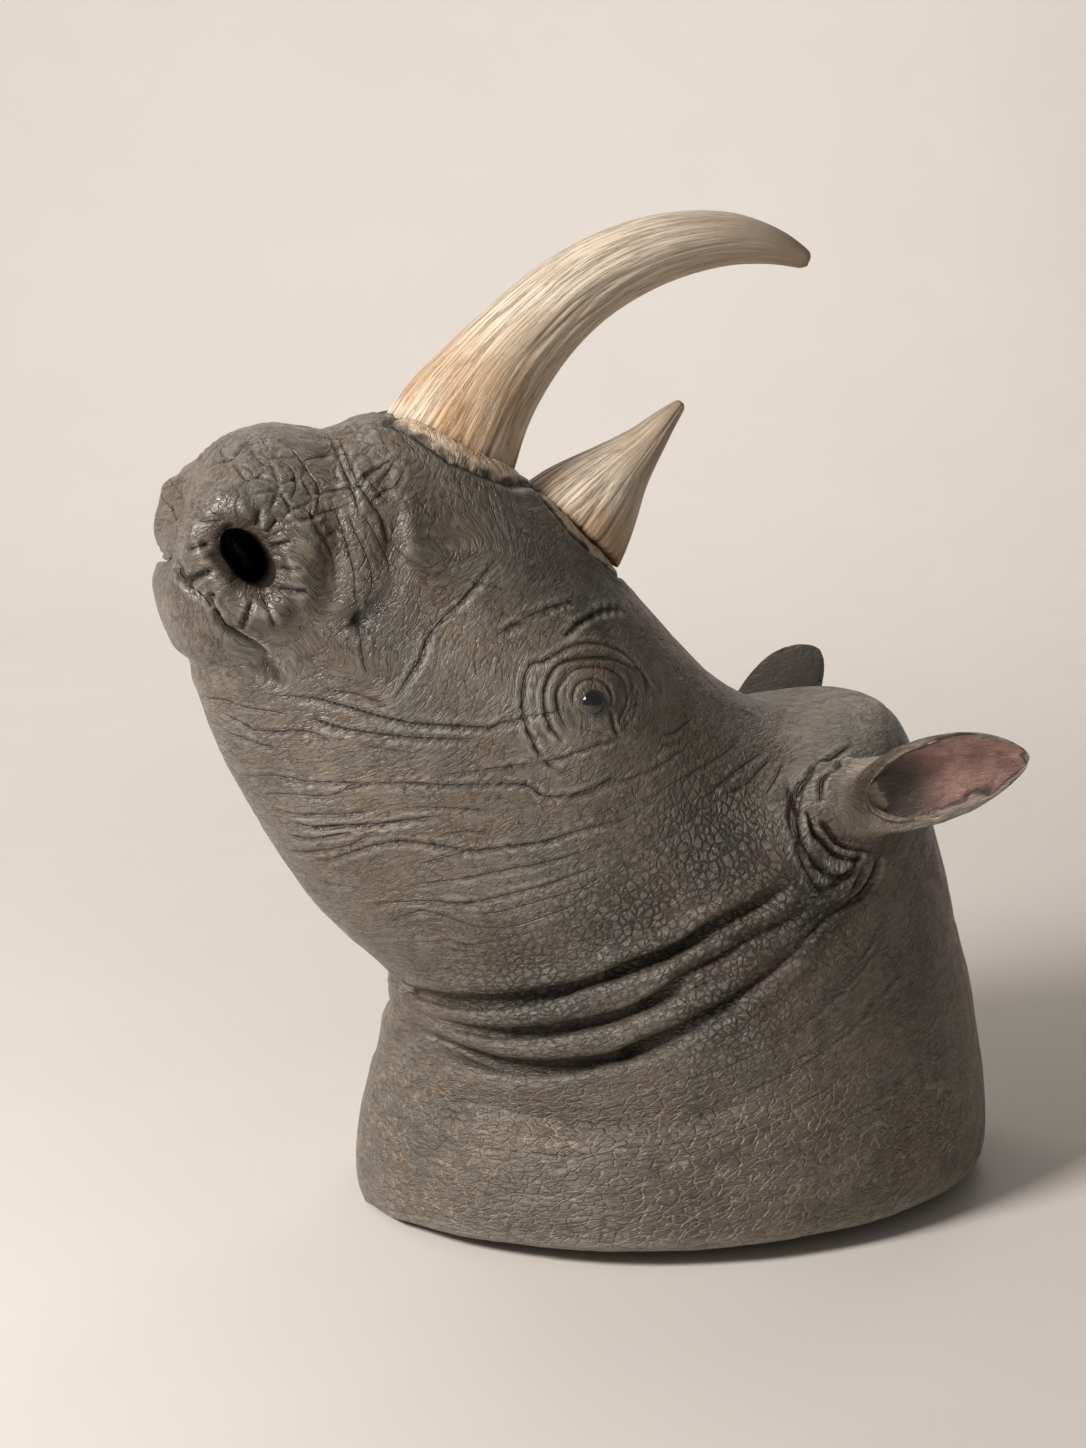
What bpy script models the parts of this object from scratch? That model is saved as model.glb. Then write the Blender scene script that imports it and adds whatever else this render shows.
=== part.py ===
"""A decorative rhinoceros head: a painted bust cut flat below the neck and looking up, with two set-in
horns and two set-in eyes.

Blender 4.5, metres, +Z up. The origin is the middle of the flat underside. The bust is the same on both
sides of the XZ plane but for the pose of its ears; the muzzle points to -X and the back of the neck to +X.
The free form is written in shares, each a thousandth of the height, so that a bust of another height keeps
its proportions.
"""

import math

import bmesh
import bpy
import numpy as np
from mathutils import Matrix, Vector
from mathutils.bvhtree import BVHTree

# Driving dimensions, in metres
HEIGHT = 1.000  # underside to the highest point of the front horn
SHARE = HEIGHT / 1000  # the unit of the free form's tables below
FIT_GAP = 0.0003  # clearance between a set-in piece and its socket
EYE_RADIUS = 0.015  # radius of the eyeball
EYE_PROUD = 0.0045  # how far the eyeball stands out of its lids
EAR_WALL = 0.008  # thickness of the ears between the outside and the cup

# How finely the free form is cut into faces
RING_SIDES = 48
FINER_REACH = 60  # reach of the finer faces round each eye, in shares of the height
FINER_CUTS = 2  # cuts of each edge there
HORN_SIDES = 16
HORN_RINGS_A_ROW = 2
EAR_SIDES = 16
EAR_RINGS = 12
EYE_SIDES = 12
NOSTRIL_SIDES = 14
PATH_STEPS = 4  # straight pieces of a fold between two points of its path

# Sections of the bust, from the underside to the muzzle, in shares of the height. Each is a closed oval
# through a throat point and a crest point of the profile: (throat x, throat z, crest x, crest z, half width,
# where the widest part lies from throat 0 to crest 1, sag of the sides towards the underside, rings of faces
# up to the next section)
SECTIONS = (
    (-332, 0, 332, 0, 267, 0.50, 0, 1),
    (-335, 30, 344, 30, 274, 0.50, 0, 1),
    (-330, 72, 343, 86, 274, 0.50, 4, 1),
    (-321, 112, 329, 168, 267, 0.50, 14, 3),
    (-312, 152, 306, 262, 255, 0.50, 36, 3),
    (-306, 175, 284, 345, 246, 0.50, 50, 4),
    (-301, 199, 262, 425, 237, 0.51, 62, 5),
    (-299, 219, 247, 464, 230, 0.52, 48, 5),
    (-300, 238, 234, 484, 224, 0.54, 31, 4),
    (-314, 257, 214, 499, 217, 0.57, 26, 2),
    (-338, 278, 184, 502, 211, 0.59, 24, 2),
    (-362, 303, 146, 496, 203, 0.60, 22, 2),
    (-386, 333, 106, 494, 196, 0.62, 18, 2),
    (-410, 371, 50, 523, 188, 0.64, 14, 2),
    (-434, 412, -8, 577, 180, 0.64, 10, 2),
    (-458, 459, -62, 640, 165, 0.64, 4, 2),
    (-476, 503, -130, 714, 146, 0.62, 0, 3),
    (-488, 541, -212, 784, 131, 0.60, 0, 4),
    (-500, 571, -290, 810, 122, 0.58, 0, 4),
    (-514, 598, -350, 794, 119, 0.56, 0, 4),
    (-524, 628, -404, 802, 115, 0.54, 0, 3),
    (-521, 660, -446, 792, 101, 0.52, 0, 3),
    (-508, 688, -474, 770, 72, 0.50, 0, 2),
    (-498, 708, -488, 742, 28, 0.50, 0, 0),
)
SAG_SKEW = 0.6  # how much more of the sag lies towards the throat than towards the crest

# Folds round the neck, which follow a section: (section, width, share of the depth that the rolls beside it
# stand out, depths at even steps of turn from the throat towards the crest), in shares of the height
NECK_FOLD_STEP = math.radians(15)
NECK_FOLDS = (
    (4, 13, 0.25, (0, 2, 5, 8, 8, 6, 3, 0)),
    (6, 8, 0.40, (3, 7, 11, 14, 13, 9, 5, 1, 0)),
    (7, 7, 0.40, (3, 7, 11, 14, 13, 9, 5, 1, 0)),
    (8, 8, 0.40, (5, 9, 13, 15, 14, 11, 7, 3, 0)),
)

# Other folds and creases, cut the same on both sides: (width, share of the depth that the rolls beside them
# stand out, path in side view of (x, z, depth)), in shares of the height
FOLDS = (
    # behind the ear
    (8, 0.40, ((150, 392, 4), (138, 356, 9), (110, 323, 8), (70, 270, 0))),
    (8, 0.30, ((130, 385, 5), (107, 338, 7), (50, 274, 0))),
    # the mouth, and the chin below it
    (9, 0.30, ((-526, 690, 8), (-507, 665, 11), (-479, 624, 12), (-446, 597, 10), (-430, 558, 0))),
    (9, 0.20, ((-502, 572, 6), (-476, 574, 5), (-446, 580, 0))),
    # from the front horn down behind the nostril
    (10, 0.40, ((-330, 804, 0), (-328, 758, 6), (-327, 690, 9), (-342, 642, 9), (-356, 612, 0))),
    (9, 0.30, ((-372, 770, 0), (-377, 720, 6), (-380, 668, 7), (-372, 622, 0))),
    # the brow, and two long creases in front of it
    (8, 0.30, ((-196, 600, 0), (-160, 616, 6), (-118, 614, 7), (-60, 584, 0))),
    (7, 0.20, ((-225, 684, 0), (-254, 656, 4), (-300, 604, 5), (-330, 548, 0))),
    (7, 0.20, ((-306, 683, 0), (-246, 660, 4), (-204, 642, 0))),
)

ROLL_AWAY = 2  # how many widths of a fold lie between it and the rolls beside it

EYE_MIDDLE = (-144, 148, 550)  # right eye, in shares of the height, as are the nostril and the ear
NOSTRIL_MIDDLE = (-457, 117, 690)
EAR_ROOT = (100, 205, 432)

# Swellings and hollows of the skin: (middle, reach, height), in shares of the height
MOUNDS = (
    (EYE_MIDDLE, 60, 7),
    (NOSTRIL_MIDDLE, 34, -12),
    ((-352, 130, 630), 15, -7),
    ((-268, 130, 702), 38, -8),
    ((-150, 190, 420), 80, 5),
    ((-500, 60, 610), 34, 5),
)

# Raised rings of the skin: (middle, radius, width, height), in shares of the height
RAISED_RINGS = (
    (EYE_MIDDLE, 25, 8, 5),
    (EYE_MIDDLE, 50, 9, 3),
    (NOSTRIL_MIDDLE, 54, 17, 10),
    (EAR_ROOT, 58, 9, 7),
)
PLAIN_FOOT = 25  # the carving fades in over this height above the underside, in shares of the height

NOSTRIL_RADII = (19, 52, 34)  # across, in and along, in shares of the height
NOSTRIL_LEAN = math.radians(-37)  # of the long way, from upright

# Front horn and rear horn: (x, z, radius) along the middle of the horn, in shares of the height
FRONT_HORN = (
    (-241, 760, 75), (-222, 797, 68), (-193, 838, 57), (-148, 887, 47), (-97, 928, 42),
    (-36, 956, 37), (20, 968, 31.5), (64, 969, 26), (104, 961, 18), (131, 950, 11),
)
REAR_HORN = (
    (-112, 686, 68), (-96, 704, 61), (-77, 724, 49), (-56, 746, 34), (-33, 768, 22),
    (-14, 789, 14), (2, 804, 7.5),
)
FRONT_HORN_BREADTH = 0.86  # half breadth at the root, as a share of its half length there
REAR_HORN_BREADTH = 0.74
HORN_TIP_ROUND = 0.9  # length of the rounded tip, as a share of the radius there
HORN_TIP_TURNS = (math.radians(35), math.radians(65))  # where the tip's rings lie on its quarter turn
FLUTE = 0.035  # depth of the flutes at the root, as a share of the radius

# Left ear, from its root to its rim, in shares of the height: the middle of a section, the half axis that
# ends at the tip's side, and the half axis across it
EAR_OUTSIDE = (
    ((64, -120, 402), (26, 26, 22), (-14, -4, 46)),
    ((86, -158, 420), (29, 22, 14), (-16, -4, 50)),
    ((100, -176, 428), (28, 20, 12), (-14, -4, 44)),
    ((113, -190, 434), (33, 14, 12), (-14, -6, 48)),
    ((128, -202, 440), (34, 8, 12), (-13, -8, 43)),
    ((150, -220, 450), (46, -8, 15), (-12, -12, 45)),
    ((171, -236, 460), (60, -24, 18), (-11, -14, 49)),
    ((190, -247, 468), (72, -38, 22), (-10, -15, 49)),
)
# The cup follows the outside back in: (place on the table above, size against the outside less the wall)
EAR_CUP = ((7, 1), (6.4, 0.98), (5.7, 0.9), (5, 0.72), (4.4, 0.45))
EAR_POINT = 0.35  # how much the rim narrows towards its tip
RIGHT_EAR_TILT = math.radians(18)  # how far the right ear is raised more than the left
RIGHT_EAR_BREADTH = 0.88  # against the left ear, which is turned more to the front
RIGHT_EAR_SHIFT = (42, -14, -42)  # of its root, against the mirror image of the left ear's, in shares

SIDES = (("left", -1), ("right", 1))  # the animal's own sides, with the sign of Y there


def clear_scene():
    for obj in list(bpy.data.objects):
        bpy.data.objects.remove(obj)


def material(name, colour, roughness, metallic=0.0):
    made = bpy.data.materials.new(name)
    made.use_nodes = True
    shader = made.node_tree.nodes["Principled BSDF"]
    shader.inputs["Base Color"].default_value = (*colour, 1.0)
    shader.inputs["Roughness"].default_value = roughness
    shader.inputs["Metallic"].default_value = metallic
    return made


def curve_at(rows, at):
    """Points on the smooth curve through the rows, which have any number of columns, at places from 0."""
    rows = np.asarray(rows, float)
    padded = np.vstack([2 * rows[0] - rows[1], rows, 2 * rows[-1] - rows[-2]])
    span = np.minimum(at.astype(int), len(rows) - 2)
    t = (at - span)[:, None]
    before, start, end, after = (padded[span + k] for k in range(4))
    return 0.5 * (
        2 * start
        + (end - before) * t
        + (2 * before - 5 * start + 4 * end - after) * t**2
        + (3 * start - before - 3 * end + after) * t**3
    )


def curve_through(rows, count):
    return curve_at(rows, np.linspace(0, len(rows) - 1, count))


def mesh_of_rings(rings):
    """A closed surface through rings of points, each with as many points, turned round its own axis alike."""
    made = bmesh.new()
    rows = [[made.verts.new(point) for point in ring] for ring in rings]
    sides = len(rows[0])
    for low, high in zip(rows, rows[1:]):
        for k in range(sides):
            made.faces.new((low[k], low[(k + 1) % sides], high[(k + 1) % sides], high[k]))
    made.faces.new(rows[0][::-1])
    made.faces.new(rows[-1])
    bmesh.ops.recalc_face_normals(made, faces=made.faces)
    return made


def finish_object(name, made, finish):
    bmesh.ops.triangulate(made, faces=made.faces)
    mesh = bpy.data.meshes.new(name)
    made.to_mesh(mesh)
    made.free()
    mesh.shade_smooth()
    obj = bpy.data.objects.new(name, mesh)
    bpy.context.scene.collection.objects.link(obj)
    if finish:
        mesh.materials.append(finish)
    return obj


def mirrored(points):
    """The same points, with those of the left side brought over to the right."""
    return np.stack([points[:, 0], np.abs(points[:, 1]), points[:, 2]], 1)


def section_curve(section, turn):
    """Points of a section (its row up to the sag) at angles from -90 at the throat to 90 at the crest."""
    throat_x, throat_z, crest_x, crest_z, half, widest, sag = section
    height, across = np.sin(turn), np.cos(turn)
    throat, rise = np.array([throat_x, throat_z]), np.array([crest_x - throat_x, crest_z - throat_z])
    side = np.array([rise[1], -rise[0]]) / np.linalg.norm(rise)
    along = widest + np.where(height > 0, 1 - widest, widest) * height
    sunk = sag * across**2 * (1 - SAG_SKEW * height)
    spot = throat + along[:, None] * rise + sunk[:, None] * side
    return np.stack([spot[:, 0], half * across, spot[:, 1]], 1)


def bust_rings():
    """Rings of points of the bust before it is carved, without its ears, in metres."""
    turn = np.linspace(0, 2 * math.pi, RING_SIDES, endpoint=False)
    sections = [row[:-1] for row in SECTIONS]
    steps = [span + np.arange(row[-1]) / row[-1] for span, row in enumerate(SECTIONS[:-1])]
    steps = np.append(np.concatenate(steps), len(SECTIONS) - 1)
    return np.array([section_curve(row, turn) * SHARE for row in curve_at(sections, steps)])


def fold_paths():
    """Every fold as (width, roll, path in side view of x, z and depth)."""
    paths = list(FOLDS)
    for section, width, roll, depths in NECK_FOLDS:
        turn = NECK_FOLD_STEP * np.arange(len(depths)) - math.pi / 2
        places = section_curve(SECTIONS[section][:-1], turn)
        paths.append((width, roll, np.column_stack([places[:, 0], places[:, 2], depths])))
    return paths


def beside(points, path):
    """How far each point lies from a path in side view, and the depth of the path at its nearest place."""
    path = curve_through(path, PATH_STEPS * (len(path) - 1) + 1)
    nearest, depth = np.full(len(points), np.inf), np.zeros(len(points))
    for start, end in zip(path, path[1:]):
        run = end[:2] - start[:2]
        share = np.clip((points[:, [0, 2]] - start[:2]) @ run / (run @ run), 0, 1)
        away = np.linalg.norm(points[:, [0, 2]] - start[:2] - share[:, None] * run, axis=1)
        near = away < nearest
        nearest[near] = away[near]
        depth[near] = (start[2] + share * (end[2] - start[2]))[near]
    return nearest, depth


def carving(points):
    """How far the skin stands out of the plain form at each point, in shares of the height."""
    folded = mirrored(points)
    rise = np.zeros(len(points))
    for width, roll, path in fold_paths():
        away, depth = beside(points, path)
        rise -= depth * np.exp(-((away / width) ** 2))
        rise += roll * depth * np.exp(-((away / width - ROLL_AWAY) ** 2))
    for place, reach, height in MOUNDS:
        rise += height * np.exp(-((np.linalg.norm(folded - place, axis=1) / reach) ** 2))
    for place, radius, width, height in RAISED_RINGS:
        rise += height * np.exp(-(((np.linalg.norm(folded - place, axis=1) - radius) / width) ** 2))
    return rise * np.clip(points[:, 2] / PLAIN_FOOT, 0, 1)


def bust_mesh():
    """The bust with its carving, and with finer faces round the eyes, as a bmesh."""
    made = mesh_of_rings(bust_rings())
    points = np.array([vert.co for vert in made.verts]) / SHARE
    near = np.linalg.norm(mirrored(points) - EYE_MIDDLE, axis=1) < FINER_REACH
    edges = [edge for edge in made.edges if near[edge.verts[0].index] and near[edge.verts[1].index]]
    bmesh.ops.subdivide_edges(made, edges=edges, cuts=FINER_CUTS, use_grid_fill=True)
    made.normal_update()
    verts = list(made.verts)
    rises = carving(np.array([vert.co for vert in verts]) / SHARE)
    for vert, rise in zip(verts, rises):
        vert.co += vert.normal * (rise * SHARE)
    return made


def horn_rings(rows, breadth, grow=0.0):
    """Rings of a fluted, tapered horn in the XZ plane; grow thickens it and sinks its root, for a socket."""
    line = curve_through(rows, HORN_RINGS_A_ROW * (len(rows) - 1) + 1) * SHARE
    sides = np.arange(HORN_SIDES)
    turn = (sides + 0.5) * 2 * math.pi / HORN_SIDES
    heading = np.gradient(line[:, :2], axis=0)
    heading /= np.linalg.norm(heading, axis=1)[:, None]
    rings = []
    for k, (x, z, radius) in enumerate(line):
        share = k / (len(line) - 1)
        across = breadth + (1 - breadth) * share
        fluted = radius * (1 - FLUTE * (1 - share) * (sides % 2))
        spot = np.array([x, z]) - heading[k] * (grow if k == 0 else 0)
        normal = np.array([-heading[k][1], heading[k][0]])
        points = spot + np.outer(np.cos(turn) * (fluted + grow), normal)
        rings.append(np.stack([points[:, 0], np.sin(turn) * (fluted * across + grow), points[:, 1]], 1))
    tip_ring, middle = rings[-1], rings[-1].mean(axis=0)
    ahead = np.array([heading[-1][0], 0, heading[-1][1]]) * (line[-1][2] * HORN_TIP_ROUND)
    for angle in HORN_TIP_TURNS:
        rings.append(middle + (tip_ring - middle) * math.cos(angle) + ahead * math.sin(angle))
    return np.array(rings)


def ear_ring(section, wall=0.0, size=1.0):
    """One ring of the left ear, in shares; wall is taken off each half axis, and size scales what is left."""
    turn = np.linspace(0, 2 * math.pi, EAR_SIDES, endpoint=False)
    pointed = np.sin(turn) * (1 - EAR_POINT * np.clip(np.cos(turn), 0, 1) ** 2)
    middle, to_tip, over = section[:3], section[3:6], section[6:9]
    to_tip, over = (axis * (1 - wall / np.linalg.norm(axis)) * size for axis in (to_tip, over))
    return middle + np.outer(np.cos(turn), to_tip) + np.outer(pointed, over)


def ear_rings(side):
    """Rings of one ear, up its outside and down its cup; side is -1 for the left and 1 for the right."""
    sections = [np.concatenate(row) for row in EAR_OUTSIDE]
    wall = EAR_WALL / SHARE
    rings = [ear_ring(section) for section in curve_through(sections, EAR_RINGS)]
    rim, before = sections[-1], sections[-2]
    ahead = (rim[:3] - before[:3]) / np.linalg.norm(rim[:3] - before[:3])
    rings.append(ear_ring(rim, wall / 2) + ahead * wall / 2)
    places, sizes = np.array(EAR_CUP).T
    rings += [ear_ring(section, wall, size) for section, size in zip(curve_at(sections, places), sizes)]
    points = np.array(rings) * [1, -side, 1]
    if side > 0:
        root = sections[1][:3] * [1, -side, 1]
        narrowed = np.array([1, 1, RIGHT_EAR_BREADTH])
        raised = np.array(Matrix.Rotation(-RIGHT_EAR_TILT, 3, "Y"))
        points = ((points - root) * narrowed) @ raised.T + root + RIGHT_EAR_SHIFT
    return points * SHARE


def helper(obj):
    obj.hide_render = True
    obj.display_type = "WIRE"
    return obj


def boolean(obj, other, operation):
    made = obj.modifiers.new(operation.title(), "BOOLEAN")
    made.operation = operation
    made.solver = "EXACT"
    made.object = other


def surface_spot(obj, middle, side):
    """Where a line along Y through the middle first meets the object from that side, and the normal there."""
    x, _, z = (value * SHARE for value in middle)
    tree = BVHTree.FromObject(obj, bpy.context.evaluated_depsgraph_get())
    spot, normal, _, _ = tree.ray_cast(Vector((x, side * HEIGHT, z)), Vector((0, -side, 0)))
    return spot, normal


def ball(name, radii, sides, place, finish=None):
    made = bmesh.new()
    bmesh.ops.create_uvsphere(made, u_segments=sides, v_segments=sides // 2, radius=1)
    bmesh.ops.scale(made, vec=radii, verts=made.verts)
    obj = finish_object(name, made, finish)
    obj.location = place
    return obj


def add_ears(head):
    for name, side in SIDES:
        ear = finish_object("ear_form_" + name, mesh_of_rings(ear_rings(side)), None)
        boolean(head, helper(ear), "UNION")


def cut_nostrils(head, spots):
    for (name, _), (spot, _) in zip(SIDES, spots):
        hole = ball("nostril_hole_" + name, [value * SHARE for value in NOSTRIL_RADII], NOSTRIL_SIDES, spot)
        hole.rotation_euler.y = NOSTRIL_LEAN
        boolean(head, helper(hole), "DIFFERENCE")


def set_horn(head, name, rows, breadth, finish):
    finish_object(name, mesh_of_rings(horn_rings(rows, breadth)), finish)
    socket = finish_object(name + "_socket", mesh_of_rings(horn_rings(rows, breadth, FIT_GAP)), None)
    boolean(head, helper(socket), "DIFFERENCE")


def set_eyes(head, spots, finish):
    for (name, _), (spot, normal) in zip(SIDES, spots):
        middle = spot + normal * (EYE_PROUD - EYE_RADIUS)
        ball("eye_" + name, [EYE_RADIUS] * 3, EYE_SIDES, middle, finish)
        socket = ball("eye_socket_" + name, [EYE_RADIUS + FIT_GAP] * 3, EYE_SIDES, middle)
        boolean(head, helper(socket), "DIFFERENCE")


def build():
    skin = material("painted_skin", (0.16, 0.15, 0.13), 0.55)
    horn = material("painted_horn", (0.62, 0.48, 0.34), 0.5)
    glass = material("dark_eye", (0.03, 0.03, 0.035), 0.08)

    head = finish_object("head", bust_mesh(), skin)
    bpy.context.view_layer.update()
    eye_spots = [surface_spot(head, EYE_MIDDLE, side) for _, side in SIDES]
    nostril_spots = [surface_spot(head, NOSTRIL_MIDDLE, side) for _, side in SIDES]

    add_ears(head)
    cut_nostrils(head, nostril_spots)
    set_horn(head, "front_horn", FRONT_HORN, FRONT_HORN_BREADTH, horn)
    set_horn(head, "rear_horn", REAR_HORN, REAR_HORN_BREADTH, horn)
    set_eyes(head, eye_spots, glass)


clear_scene()
build()
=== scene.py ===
import math

import bmesh
import bpy
import numpy as np
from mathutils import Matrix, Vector, noise
from mathutils.bvhtree import BVHTree
from mathutils.kdtree import KDTree


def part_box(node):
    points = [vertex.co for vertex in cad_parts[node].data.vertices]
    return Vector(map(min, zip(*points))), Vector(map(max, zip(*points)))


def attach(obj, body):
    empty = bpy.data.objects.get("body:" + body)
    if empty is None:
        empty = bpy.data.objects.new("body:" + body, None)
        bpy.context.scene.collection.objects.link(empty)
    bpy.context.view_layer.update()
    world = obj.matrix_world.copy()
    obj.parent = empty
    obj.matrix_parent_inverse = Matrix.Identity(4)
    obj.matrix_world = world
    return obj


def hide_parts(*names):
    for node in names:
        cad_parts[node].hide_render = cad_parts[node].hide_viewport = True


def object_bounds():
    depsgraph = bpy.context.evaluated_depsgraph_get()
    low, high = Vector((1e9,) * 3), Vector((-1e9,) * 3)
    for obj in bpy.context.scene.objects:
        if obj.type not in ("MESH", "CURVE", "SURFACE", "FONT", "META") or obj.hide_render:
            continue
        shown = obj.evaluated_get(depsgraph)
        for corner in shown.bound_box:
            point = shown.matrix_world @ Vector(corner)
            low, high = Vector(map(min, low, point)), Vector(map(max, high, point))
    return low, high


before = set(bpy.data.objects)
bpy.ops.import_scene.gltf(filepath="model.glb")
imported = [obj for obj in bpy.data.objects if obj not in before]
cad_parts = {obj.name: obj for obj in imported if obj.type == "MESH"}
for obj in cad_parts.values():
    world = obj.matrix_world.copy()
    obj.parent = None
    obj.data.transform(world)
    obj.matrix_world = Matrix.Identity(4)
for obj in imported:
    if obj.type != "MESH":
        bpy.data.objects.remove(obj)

cad_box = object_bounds()

# Units and fineness, in metres
MM = 0.001
WELD = 1e-5
SOCKET_REACH = 0.0006  # faces of the head this near to a horn or an eye line its socket
SKIN_CUTS = 3
SKIN_TRIANGLES = 190_000
HORN_CUTS = 4

# The photograph's frame and camera
PHOTO_WIDTH, PHOTO_HEIGHT = 1086, 1448  # pixels
LENS, SENSOR = 70, 36  # millimetres, the sensor along the long side
CAMERA_TURN, CAMERA_RISE = math.radians(-17), math.radians(12.5)
CAMERA_TARGET = Vector((-0.126, 0.042, 0.4795))
CAMERA_AWAY = 2.885

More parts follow.
